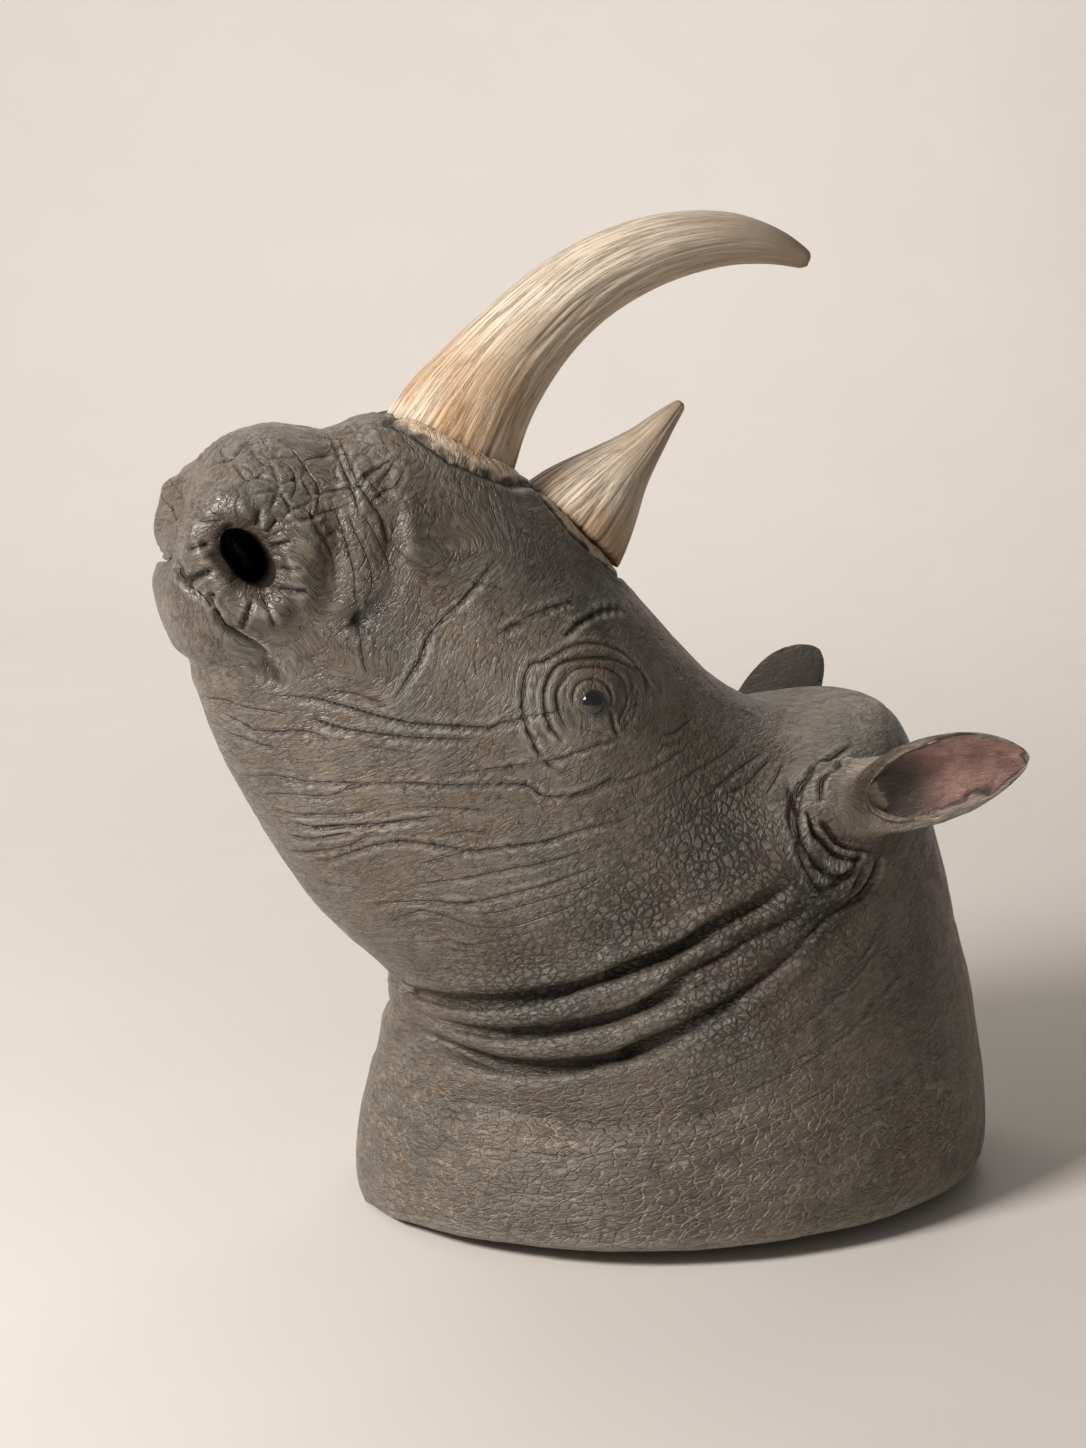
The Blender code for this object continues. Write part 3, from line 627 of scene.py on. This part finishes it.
def ear_shares(points, normals):
    """1 inside the cups of the ears and 0 outside them, then the same for the cups' depths and the backs."""
    tilt = np.array([[math.cos(RIGHT_EAR_TILT), 0, -math.sin(RIGHT_EAR_TILT)], [0, 1, 0],
                     [math.sin(RIGHT_EAR_TILT), 0, math.cos(RIGHT_EAR_TILT)]])
    narrowed = np.array([1, 1, RIGHT_EAR_BREADTH])
    right = ((points - EAR_FOOT - RIGHT_EAR_SHIFT) @ tilt) / narrowed + EAR_FOOT
    is_right = points[:, 1] > 0
    flip = np.array([1, -1, 1])
    spots = np.where(is_right[:, None], right, points * flip)
    facing = np.where(is_right[:, None], normals @ tilt, normals * flip)
    near, gaps, _, place = beside(spots, np.array(EAR_LINE, float), EAR_REACH[1])
    length = np.linalg.norm(gaps, axis=1)
    inward = -(gaps * facing[near]).sum(axis=1) / (length + 1e-6)
    reach = EAR_REACH[0] + (EAR_REACH[1] - EAR_REACH[0]) * np.clip(place / 0.5, 0, 1)
    inside, depth, ear = (np.zeros(len(points)) for _ in range(3))
    inside[near] = step_up(inward, 0.05, 0.45) * (1 - step_up(length, 0.85 * reach, reach))
    depth[near] = 1 - step_up(((spots[near] - EAR_LINE[0]) ** 2).sum(axis=1) ** 0.5, 28, 95)
    ear[near] = 1 - step_up(length, 0.85 * reach + 8, reach + 8)
    return inside, depth * inside, ear * (1 - inside)


def nostril_share(points):
    """1 at the middle of the nostrils in side view, 0 at their rims."""
    sine, cosine = math.sin(NOSTRIL_LEAN), math.cos(NOSTRIL_LEAN)
    x, z = points[:, 0] - NOSTRIL[0], points[:, 2] - NOSTRIL[1]
    across, along = x * cosine - z * sine, x * sine + z * cosine
    return 1 - np.hypot(across / NOSTRIL_HALF[0], along / NOSTRIL_HALF[1])


def patch_share(points, patches):
    share = np.zeros(len(points))
    for x, z, reach in patches:
        share = np.maximum(share, bump(np.hypot(points[:, 0] - x, points[:, 2] - z), reach))
    return share


def from_cell_edges(points, size):
    """How far from its cell's edge each point is, for cells of that size in mm."""
    found = [noise.voronoi(Vector(point))[0][:2] for point in points / size]
    near, second = np.array(found).T
    return second - near


def cloud(points, size, seed=0):
    scaled = points / size + seed
    return np.array([noise.noise(Vector(point)) for point in scaled])


def folded_over(rows):
    """The rows with both sides of the head laid on the right one."""
    return rows * np.stack([np.ones(len(rows)), np.where(rows[:, 1] < 0, -1, 1), np.ones(len(rows))], 1)


def relief(points, lines, folds, leading, horn_away):
    """How far the skin stands out at each point, in mm."""
    folded = folded_over(points)
    rise = np.zeros(len(points))
    for (depth, width, _), line in zip(CREASES, lines):
        if len(line) > 1:
            carved = CARVED_FINE + (1 - CARVED_FINE) * step_up(depth, FINE, DEEP)
            rise -= cut_along(folded, line, carved * depth, CARVED_WIDTH * width, crease_shape, 3.5)
    for (depth, width, _), line in zip(FOLDS, folds):
        rise -= cut_along(folded, line, depth, width, fold_shape, 4)

    # broad and middling wrinkles
    broad = two_sided(leading, 30, 110, 3, points)
    mid = two_sided(leading, 16, 60, 5, points)
    lumps = cloud(points, 26)
    wrinkled = 1 - 0.6 * (1 - step_up(points[:, 2], *LOW_NECK))
    rise -= wrinkled * 0.7 * bump(broad, 0.16)
    rise -= np.clip(0.5 + lumps, 0, 1) * 0.6 * bump(mid, 0.22)

    # pebbles, plates and the lobes round the nostril
    edge = from_cell_edges(points + 2 * mid[:, None], 9)
    rise += patch_share(points, PEBBLED) * (0.8 * np.clip(edge / 0.3, 0, 1) - 0.5)
    edge = from_cell_edges(points + 4 * lumps[:, None], 24)
    ring = 1 - nostril_share(points)
    plated = patch_share(points, PLATED) * step_up(ring, 1.8, 2.8)
    rise += plated * (3.0 * np.clip(edge / 0.25, 0, 1) ** 0.7 - 1.5)
    rise += (4.4 + 5 * cloud(points, 17, 21)) * bump(ring - 1.75, 0.42)

    # the horns' feet, with a groove and a roll round them
    beside_horn = step_up(folded[:, 1], *HORN_FOOT_SIDES)
    rise += beside_horn * HORN_FOOT_HIGH * bump(horn_away, 0.8 * HORN_FOOT)
    rise -= 4.5 * bump(horn_away - beside_horn * HORN_FOOT - 4, 4)
    rise += beside_horn * 2 * bump(horn_away - HORN_FOOT - 13, 5)

    # round the eye, then the cast's own unevenness
    eye_gap = np.linalg.norm(folded - EYE, axis=1)
    rise += 1.6 * bump(eye_gap - 17, 4) + 2.6 * bump(np.linalg.norm(folded - LID, axis=1), 11)
    rise += 1.2 * cloud(points, 60, 5) + 0.3 * cloud(points, 14, 9)
    return rise


def away_from_horns(points):
    """How far each point lies from the nearer horn, in mm."""
    trees = trees_of(HORN_LINES)
    return np.array([min(tree.find_nearest(point)[3] for tree in trees) for point in points]) / MM


def smooth_folds(mesh, folds):
    """Smooths the CAD's own folds of the neck out, near the lines where they are carved again."""
    points, edges = points_of(mesh), neighbour_pairs(mesh)
    share = fold_share(folded_over(points / MM), folds)[:, None]
    near = np.flatnonzero(share > 0)
    local = np.full(len(points), -1)
    local[near] = np.arange(len(near))
    links = local[edges]
    flat = spread(points[near], links[(links >= 0).all(axis=1)], FOLD_ROUNDS)
    points[near] += share[near] * (flat - points[near])
    set_points(mesh, points)


def inside_cad(points):
    low, high = (np.array(corner) for corner in cad_box)
    return np.clip(points, low, high)


def skin(camera):
    made = node_mesh("head")
    tree = BVHTree.FromBMesh(made)
    lines, folds = ([on_skin(line, camera, tree) for *_, line in table] for table in (CREASES, FOLDS))
    grain = [on_skin(line, camera, tree) for line in GRAIN]
    close_sockets(made)
    join_faces(made, 50, 60)
    obj = shown_object("skin", made)
    apply_modifiers(
        obj,
        ("SUBSURF", {"levels": SKIN_CUTS, "render_levels": SKIN_CUTS}),
        ("SMOOTH", {"factor": 0.5, "iterations": 5}),
    )
    refine(obj, [sum(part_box(name), Vector()) / 2 for name in EYES], EYE_REACHES)
    mesh = obj.data
    smooth_folds(mesh, folds)
    points = points_of(mesh)
    smooth_normals = spread(points_of(mesh, "normal"), neighbour_pairs(mesh), 3)
    smooth_normals /= np.linalg.norm(smooth_normals, axis=1)[:, None]
    leading = directions([smooth_path(line[:, [0, 2]]) for line in lines + folds + grain if len(line) > 1])
    rise = relief(points / MM, lines, folds, leading, away_from_horns(points))
    rise *= step_up(points[:, 2] / MM, 0, FADE_LOW)
    points = inside_cad(points + smooth_normals * (rise * MM)[:, None])
    points[points[:, 2] < FLAT_LOW * MM, 2] = 0
    set_points(mesh, points)
    return obj, lines, leading


def finish_skin(obj, lines, leading):
    """Thins the skin to its triangles and gives it what the colours and the bump follow."""
    mesh = obj.data
    edges = neighbour_pairs(mesh)
    points = points_of(mesh)
    normals = spread(points_of(mesh, "normal"), edges, 6)
    # how hollow the skin is at each point, over a few and over many rounds of averaging, for the painted
    # shade in its hollows and creases
    hollow = []
    for rounds in (3, 16):
        away = spread(points, edges, rounds) - points
        hollow.append((away * normals).sum(axis=1))
    count = sum(len(polygon.vertices) - 2 for polygon in mesh.polygons)
    tree = KDTree(len(points))
    for k, point in enumerate(points):
        tree.insert(point, k)
    tree.balance()
    if count > SKIN_TRIANGLES:
        settings = {"ratio": SKIN_TRIANGLES / count, "use_collapse_triangulate": True}
        apply_modifiers(obj, ("DECIMATE", settings))
    mesh = obj.data
    kept = inside_cad(points_of(mesh))
    set_points(mesh, kept)
    nearest = np.array([tree.find(point)[1] for point in kept])
    links = neighbour_pairs(mesh)
    normals = spread(points_of(mesh, "normal"), links, 2)
    normals /= np.linalg.norm(normals, axis=1)[:, None]
    spots = kept / MM
    folded = folded_over(spots)
    facing = normals * np.where(spots[:, 1:2] < 0, (1, -1, 1), (1, 1, 1))
    away, side, deep = crease_marks(folded, facing, lines)
    along, across = (read_grid(grid, spots, CELL * COARSE) for grid in flow_grids(leading))
    ear, ear_depth, ear_back = (spread(share, links, 4) for share in ear_shares(spots, normals))
    marks = {
        "hollow_fine": hollow[0][nearest] / MM,
        "broad_hollow_shade": hollow[1][nearest] / MM,
        "line_away": away,
        "line_side": side,
        "line_deep": deep,
        "ear_inside": ear,
        "ear_depth": ear_depth,
        "ear_back": ear_back,
        "nostril": nostril_share(spots),
        "eye_away": np.linalg.norm(folded - EYE, axis=1),
        "lid": bump(np.linalg.norm(folded - LID, axis=1), 16),
        "pit": bump(np.linalg.norm(folded - PIT, axis=1), 22),
        "horn_away": away_from_horns(kept) - HORN_FOOT * step_up(folded[:, 1], *HORN_FOOT_SIDES),
        "pebbled": patch_share(spots, PEBBLED),
        "shaded": patch_share(folded, SHADED),
        "flow": np.stack([along, across, spots[:, 1]], 1) * MM,
    }
    for name, values in marks.items():
        add_mark(mesh, name, values)
    mesh.shade_smooth()
    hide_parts("head")
    return obj


# Materials
class Painter:
    """Makes a material of nodes step by step."""

    def __init__(self, name):
        self.material = bpy.data.materials.new(name)
        self.material.use_nodes = True
        self.tree = self.material.node_tree
        self.shader = self.tree.nodes["Principled BSDF"]
        self.place = self.node("ShaderNodeTexCoord", "Object", {})

    def node(self, kind, output, values, **settings):
        """Adds a node, puts the values into its inputs and gives its output."""
        made = self.tree.nodes.new(kind)
        for key, value in settings.items():
            setattr(made, key, value)
        for key, value in values.items():
            self.put(made.inputs[key], value)
        return made.outputs[output]

    def put(self, socket, value):
        if isinstance(value, bpy.types.NodeSocket):
            self.tree.links.new(value, socket)
        elif isinstance(value, tuple) and len(value) == 3 and socket.type == "RGBA":
            socket.default_value = (*value, 1)
        else:
            socket.default_value = value

    def noise(self, scale, detail=4.0, roughness=0.55, place=None):
        values = {"Vector": place or self.place, "Scale": scale, "Detail": detail, "Roughness": roughness}
        return self.node("ShaderNodeTexNoise", "Fac", values)

    def cracks(self, scale, place):
        """Distance from the edges of cells."""
        values = {"Vector": place, "Scale": scale}
        return self.node("ShaderNodeTexVoronoi", "Distance", values, feature="DISTANCE_TO_EDGE")

    def mapped(self, scale, turn=(0, 0, 0), place=None):
        values = {"Vector": place or self.place, "Scale": scale, "Rotation": turn}
        return self.node("ShaderNodeMapping", "Vector", values)

    def warped(self, scale, amount, place):
        """The place, pushed about by noise."""
        push = self.node("ShaderNodeTexNoise", "Color", {"Vector": place, "Scale": scale})
        values = {0: push, 1: (amount,) * 3, 2: place}
        return self.node("ShaderNodeVectorMath", "Vector", values, operation="MULTIPLY_ADD")

    def attribute(self, name, output="Fac"):
        return self.node("ShaderNodeAttribute", output, {}, attribute_name=name)

    def axis(self, name):
        """The place along X, Y or Z, in metres."""
        return self.node("ShaderNodeSeparateXYZ", name, {0: self.place})

    def ramp(self, value, low, high, start=0.0, end=1.0):
        values = {"Value": value, "From Min": low, "From Max": high, "To Min": start, "To Max": end}
        return self.node("ShaderNodeMapRange", "Result", values, interpolation_type="SMOOTHSTEP")

    def math(self, operation, *numbers):
        return self.node("ShaderNodeMath", "Value", dict(enumerate(numbers)), operation=operation)

    def sum(self, *values):
        total = values[0]
        for value in values[1:]:
            total = self.math("ADD", total, value)
        return total

    def times(self, *values):
        total = values[0]
        for value in values[1:]:
            total = self.math("MULTIPLY", total, value)
        return total

    def mix(self, share, first, second):
        return self.node("ShaderNodeMix", 2, {0: share, 6: first, 7: second}, data_type="RGBA")

    def coats(self, base, *layers):
        """Lays coats of paint (share, colour) over a colour, one after another."""
        for share, colour in layers:
            base = self.mix(share, base, colour)
        return base

    def centred(self, value):
        return self.math("SUBTRACT", value, 0.5)

    def rest(self, value):
        return self.math("SUBTRACT", 1, value)

    def crossings(self, value, width):
        """1 along the thin lines where noise crosses its middle, 0 beside them."""
        return self.ramp(self.math("ABSOLUTE", self.centred(value)), 0.0, width, 1, 0)

    def relief(self, height, distance=0.001, strength=1.0):
        values = {"Height": height, "Distance": distance, "Strength": strength}
        return self.node("ShaderNodeBump", "Normal", values)

    def finish(self, colour, roughness, normal):
        self.put(self.shader.inputs["Base Color"], colour)
        self.put(self.shader.inputs["Roughness"], roughness)
        self.put(self.shader.inputs["Normal"], normal)
        return self.material


def skin_material():
    paint = Painter("skin")
    mark, ramp, times, mapped = paint.attribute, paint.ramp, paint.times, paint.mapped
    flow = mark("flow", "Vector")
    fine, broad, pebbled = mark("hollow_fine"), mark("broad_hollow_shade"), mark("pebbled")
    cup, nostril, eye_away = mark("ear_inside"), mark("nostril"), mark("eye_away")
    low_neck = ramp(paint.axis("Z"), 0.24, 0.12)

    # thin creases along the traced lines, for the bump and for painted shade along their bottoms
    line = times(
        ramp(paint.math("ABSOLUTE", mark("line_side")), 0.1, 1.15, 1, 0),
        ramp(mark("line_away"), 2.5, 4.5, 1, 0),
        ramp(mark("line_deep"), 0.3, 2.2),
    )

    # fine wrinkles, scales and pebbles, drawn out along them
    strands = paint.noise(150, 3, 0.6, mapped((0.22, 1, 0.22), place=paint.warped(30, 0.012, flow)))
    thin = paint.crossings(strands, 0.035)
    fibres = paint.noise(330, 4, 0.62, mapped((0.38, 1, 0.38), place=paint.warped(50, 0.008, flow)))
    dark_fibres = times(ramp(fibres, 0.48, 0.32), 0.5)
    scale_edge = paint.cracks(150, mapped((0.5, 1, 0.5), place=paint.warped(60, 0.012, flow)))
    scaled_here = paint.math("MAXIMUM", ramp(paint.noise(40, 2), 0.4, 0.55), low_neck)
    scale_line = times(ramp(scale_edge, 0.0, 0.14, 1, 0), scaled_here)
    pebble_edge = paint.cracks(135, mapped((0.85, 1, 0.85), place=paint.warped(80, 0.006, flow)))
    pebble = ramp(pebble_edge, 0.02, 0.26)
    mottle = paint.noise(45, 5, 0.65, mapped((0.5, 1, 0.5), place=flow))

    # paint all over, from broad patches to fine lines
    blotch = paint.noise(14, 5, 0.6)
    patch = paint.noise(6, 5, 0.65)
    cold = paint.noise(8, 4, 0.6, mapped((1, 1, 1), (0.3, 0.2, 0.5)))
    stain = paint.noise(16, 5, 0.65, mapped((1, 1, 0.4), (0, 0.35, 0)))
    behind = ramp(paint.axis("X"), -0.30, 0.10)
    base = paint.coats(
        paint.mix(ramp(blotch, 0.35, 0.68), (0.120, 0.095, 0.070), (0.184, 0.153, 0.119)),
        (times(ramp(cold, 0.52, 0.68), 0.6), (0.100, 0.098, 0.091)),
        (times(ramp(patch, 0.46, 0.64), ramp(mottle, 0.38, 0.62), 0.75), (0.170, 0.110, 0.062)),
        # painted shade on the patches below the horns and beside the mouth
        (times(mark("shaded"), 0.6), (0.062, 0.060, 0.056)),
        (times(ramp(stain, 0.5, 0.66), behind, 0.65), (0.055, 0.048, 0.040)),
        (times(ramp(stain, 0.46, 0.34), behind, 0.4), (0.175, 0.126, 0.080)),
        (times(ramp(fibres, 0.5, 0.72), 0.32), (0.300, 0.270, 0.230)),
        (dark_fibres, (0.050, 0.041, 0.033)),
        (times(scale_line, 0.35), (0.040, 0.034, 0.028)),
        # lighter on the ridges: dry-brushed paint and partly a painted highlight
        (ramp(fine, -0.05, -0.6, 0, 0.6), (0.340, 0.310, 0.270)),
        # painted shade in the broad hollows and the folds of the neck
        (ramp(broad, 0.1, 2.4, 0, 0.75), (0.038, 0.032, 0.027)),
        # painted shade in the fine creases
        (ramp(fine, 0.1, 0.8, 0, 0.85), (0.024, 0.020, 0.016)),
        (times(scale_line, low_neck, ramp(mottle, 0.38, 0.55), 0.7), (0.330, 0.270, 0.200)),
        (times(pebbled, 0.25), (0.085, 0.070, 0.055)),
        # painted shade in the gaps between the pebbles
        (times(paint.rest(pebble), pebbled, 0.9), (0.024, 0.020, 0.017)),
        (times(thin, ramp(mottle, 0.35, 0.6), 0.5), (0.036, 0.030, 0.025)),
        # painted shade along the bottoms of the creases
        (times(line, 0.6), (0.024, 0.019, 0.015)),
    )

    # paint in places: the ears' backs, the eye, the pit, the horns' feet, the ears' cups and the nostrils,
    # with painted shade in the pit, the cups and the nostrils
    eye_brown = paint.math("MAXIMUM", ramp(eye_away, 30, 14), mark("lid"))
    horn_near = paint.sum(mark("horn_away"), times(paint.centred(paint.noise(60, 4)), 13))
    foot_share = ramp(paint.noise(110, 4, 0.6, mapped((1, 1, 0.3))), 0.3, 0.6)
    foot = paint.mix(foot_share, (0.400, 0.250, 0.140), (0.660, 0.510, 0.370))
    # painted shade deep in the ears' cups, darkest towards their feet
    cup_painted_shade = paint.sum(mark("ear_depth"), times(paint.centred(blotch), 0.5))
    cup_share = ramp(paint.noise(30, 4, 0.6), 0.35, 0.65)
    pink = paint.coats(
        paint.mix(cup_share, (0.200, 0.100, 0.080), (0.340, 0.200, 0.165)),
        (ramp(cup_painted_shade, 0.2, 1.1, 0, 0.97), (0.022, 0.016, 0.014)),
        (dark_fibres, (0.110, 0.060, 0.048)),
    )
    base = paint.coats(
        base,
        (times(mark("ear_back"), 0.55), (0.270, 0.225, 0.180)),
        (times(eye_brown, ramp(mottle, 0.25, 0.6), 0.8), (0.180, 0.092, 0.044)),
        (ramp(eye_away, 16, 12), (0.035, 0.024, 0.018)),
        # painted shade in the pit
        (times(mark("pit"), 0.75), (0.022, 0.019, 0.016)),
        (ramp(horn_near, 20, 3, 0, 0.85), (0.035, 0.032, 0.030)),
        (ramp(horn_near, 1, -4), foot),
        (ramp(cup, 0.62, 0.84), (0.070, 0.045, 0.036)),
        (ramp(cup, 0.84, 0.96), pink),
        (times(ramp(cup, 0.12, 0.35), ramp(cup, 0.80, 0.58), 0.85), (0.330, 0.265, 0.210)),
        # painted shade round the nostrils, and black painted shade inside their holes
        (ramp(nostril, -0.8, 0.0, 0, 0.8), (0.045, 0.028, 0.021)),
        (ramp(nostril, -0.12, 0.16), (0.004, 0.003, 0.003)),
    )

    # bump, in millimetres, fainter in the ears
    height = paint.sum(
        times(line, paint.math("MAXIMUM", mark("line_deep"), 1), -0.5),
        times(thin, -0.5),
        times(paint.centred(fibres), 1.35),
        times(paint.centred(strands), paint.sum(times(low_neck, 2.0), 1.0)),
        times(scale_line, paint.sum(times(low_neck, 0.8), 0.45), -1.0),
        times(pebble, pebbled, 0.85),
        times(paint.noise(600, 3), 0.25),
    )
    height = times(height, paint.rest(times(cup, 0.6)))
    wet = ramp(paint.axis("X"), -0.24, -0.40, 1.0, 0.66)
    roughness = times(ramp(paint.noise(60, 3), 0.3, 0.7, 0.36, 0.53), wet)
    roughness = paint.sum(roughness, times(pebbled, 0.07))
    return paint.finish(base, roughness, paint.relief(height))


def horn_material():
    paint = Painter("horn")
    mark, ramp, times = paint.attribute, paint.ramp, paint.times
    along, strand = mark("along"), mark("strand", "Vector")
    blotch = paint.noise(16, 4)
    threads = paint.noise(9, 4, 0.6, paint.mapped((1, 1, 0.10), place=strand))
    hairs = paint.noise(26, 3, 0.6, paint.mapped((1, 1, 0.07), place=strand))
    rooted = ramp(along, 0.95, 0.35, 0.25, 1)
    cut = times(paint.crossings(threads, 0.04), rooted)
    near_skin = paint.sum(mark("skin_near"), times(paint.centred(hairs), 0.030))
    base = paint.coats(
        paint.mix(ramp(blotch, 0.3, 0.7), (0.620, 0.470, 0.330), (0.780, 0.650, 0.510)),
        (times(ramp(along, 0.34, 0.06), ramp(paint.noise(7, 3), 0.4, 0.6), 0.8), (0.500, 0.265, 0.105)),
        (times(ramp(hairs, 0.5, 0.35), rooted, 0.22), (0.340, 0.200, 0.105)),
        (times(ramp(hairs, 0.5, 0.68), 0.2), (0.860, 0.760, 0.640)),
        (ramp(along, 0.5, 1.0, 0, 0.62), (0.330, 0.235, 0.155)),
        (times(cut, ramp(blotch, 0.45, 0.65), 0.5), (0.210, 0.110, 0.055)),
        (times(ramp(mark("groove"), 0.3, 1.0), 0.3), (0.300, 0.175, 0.090)),
        (ramp(near_skin, 0.008, -0.006, 0, 0.55), (0.110, 0.070, 0.042)),
    )
    height = paint.sum(times(cut, -0.7), times(hairs, 0.5), times(paint.noise(260, 3), 0.2))
    return paint.finish(base, ramp(blotch, 0.3, 0.7, 0.40, 0.52), paint.relief(height))


def eye_material():
    paint = Painter("eye")
    cloudy = paint.ramp(paint.noise(90, 3), 0.35, 0.7)
    colour = paint.mix(cloudy, (0.006, 0.005, 0.005), (0.022, 0.016, 0.012))
    paint.shader.inputs["Coat Weight"].default_value = 1.0
    paint.shader.inputs["Coat Roughness"].default_value = 0.03
    roughness = paint.ramp(paint.noise(200), 0.3, 0.7, 0.08, 0.14)
    return paint.finish(colour, roughness, paint.relief(paint.noise(40), 0.0001))


# Horns and eyes
def horn(name, tree):
    made = node_mesh(name)
    join_faces(made, 60, 70)
    obj = shown_object(name + "_carved", made)
    apply_modifiers(obj, ("SUBSURF", {"levels": HORN_CUTS, "render_levels": HORN_CUTS}))
    mesh = obj.data
    points, normals = points_of(mesh), points_of(mesh, "normal")
    line = smooth_path(HORN_LINES[name], 8) * MM
    runs = np.diff(line, axis=0)
    lengths = np.linalg.norm(runs, axis=1)
    reached = np.concatenate([[0], np.cumsum(lengths)])
    away, along, across = np.full(len(points), np.inf), np.zeros(len(points)), np.zeros(len(points))
    for k, run in enumerate(runs):
        gap = points[:, [0, 2]] - line[k]
        share = np.clip(gap @ run / lengths[k] ** 2, 0, 1)
        rest = gap - share[:, None] * run
        distance = np.linalg.norm(rest, axis=1)
        closer = distance < away
        away[closer] = distance[closer]
        along[closer] = (reached[k] + share * lengths[k])[closer]
        across[closer] = ((rest[:, 1] * run[0] - rest[:, 0] * run[1]) / lengths[k])[closer]
    angle = np.arctan2(points[:, 1], across)
    share = along / reached[-1]
    coarse, small = [], []
    for turn, way in zip(angle, along):
        around = Vector((math.cos(turn), math.sin(turn), 0))
        coarse.append(noise.noise(around * 2.6 + Vector((0, 0, way / 0.20))))
        small.append(noise.noise(around * 8 + Vector((5, 0, way / 0.12))))
    coarse, small = np.array(coarse), np.array(small)
    groove = (1 - share) * (bump(coarse, 0.08) + 0.7 * bump(small, 0.12))
    depth = (1 - 0.8 * share) * (1.5 * bump(coarse, 0.10) + 0.7 * bump(small, 0.12)) - 1.2 * coarse
    points = points - normals * (depth * MM)[:, None]
    low, high = (np.array(corner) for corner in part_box(name))
    set_points(mesh, np.clip(points, low, high))
    skin_near = np.array([tree.find_nearest(point)[3] for point in points])
    strand = np.stack([np.cos(angle), np.sin(angle), along / 0.1], 1)
    for key, values in {"groove": groove, "along": share, "skin_near": skin_near, "strand": strand}.items():
        add_mark(mesh, key, values)
    mesh.shade_smooth()
    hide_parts(name)
    return obj


def eyeball(name):
    low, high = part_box(name)
    made = bmesh.new()
    bmesh.ops.create_icosphere(made, subdivisions=5, radius=(high - low).x / 2)
    bmesh.ops.translate(made, vec=(low + high) / 2, verts=made.verts)
    obj = shown_object(name + "_ball", made)
    obj.data.shade_smooth()
    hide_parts(name)
    return obj


# Room and light, in metres: the wall stands farther away than the camera of any other view
WALL_AWAY, WALL_HIGH, SWEEP = 4.4, 5.5, 1.4
FLOOR_AHEAD, ROOM_HALF = 4.5, 6.0


def room():
    """A pale floor that curves up behind, far enough away to stay soft."""
    profile = [(-FLOOR_AHEAD, 0.0), (WALL_AWAY - SWEEP, 0.0)]
    profile += [(WALL_AWAY - SWEEP + SWEEP * math.sin(t), SWEEP - SWEEP * math.cos(t))
                for t in np.linspace(0.1, math.pi / 2, 16)]
    profile.append((WALL_AWAY, WALL_HIGH))
    made = bmesh.new()
    rows = [[made.verts.new((x, y, z)) for x in (-ROOM_HALF, ROOM_HALF)] for y, z in profile]
    for low, high in zip(rows, rows[1:]):
        made.faces.new((low[0], low[1], high[1], high[0]))
    mesh = bpy.data.meshes.new("room")
    made.to_mesh(mesh)
    made.free()
    mesh.shade_smooth()
    obj = bpy.data.objects.new("room", mesh)
    obj.location.z = -0.0005
    obj.rotation_euler.z = CAMERA_TURN
    bpy.context.scene.collection.objects.link(obj)
    paint = Painter("room")
    mottle = paint.noise(3, 2, 0.7)
    tint = paint.mix(mottle, (0.69, 0.635, 0.585), (0.73, 0.675, 0.625))
    mesh.materials.append(paint.finish(tint, 0.9, paint.relief(mottle, 0.001, 0.2)))


def lamp(name, place, aim, size, power, colour):
    light = bpy.data.lights.new(name, "AREA")
    light.shape = "DISK"
    light.size = size
    light.energy = power
    light.color = colour
    obj = bpy.data.objects.new(name, light)
    obj.location = place
    obj.rotation_euler = (Vector(place) - Vector(aim)).to_track_quat("Z", "Y").to_euler()
    bpy.context.scene.collection.objects.link(obj)


def lights():
    middle = (-0.1, 0, 0.5)
    lamp("key", (-2.9, -1.1, 2.5), middle, 1.1, 165, (1.0, 0.98, 0.955))
    for name, across in (("wash_left", -1.4), ("wash_right", 1.8)):
        lamp(name, (across, WALL_AWAY - 1.8, 3.5), (across, WALL_AWAY, 0.9), 1.7, 52, (1.0, 0.985, 0.965))
    world = bpy.data.worlds.new("world")
    world.use_nodes = True
    world.node_tree.nodes["Background"].inputs["Color"].default_value = (0.93, 0.92, 0.90, 1)
    world.node_tree.nodes["Background"].inputs["Strength"].default_value = 0.16
    bpy.context.scene.world = world
    bpy.context.scene.view_settings.view_transform = "Standard"


def build():
    camera = photo_camera()
    head, lines, leading = skin(camera)
    head_tree = BVHTree.FromPolygons([tuple(point) for point in points_of(head.data)],
                                     [tuple(polygon.vertices) for polygon in head.data.polygons])
    finish_skin(head, lines, leading).data.materials.append(skin_material())
    horns = horn_material()
    for name in HORN_LINES:
        horn(name, head_tree).data.materials.append(horns)
    eyes = eye_material()
    for name in EYES:
        eyeball(name).data.materials.append(eyes)
    room()
    lights()


build()
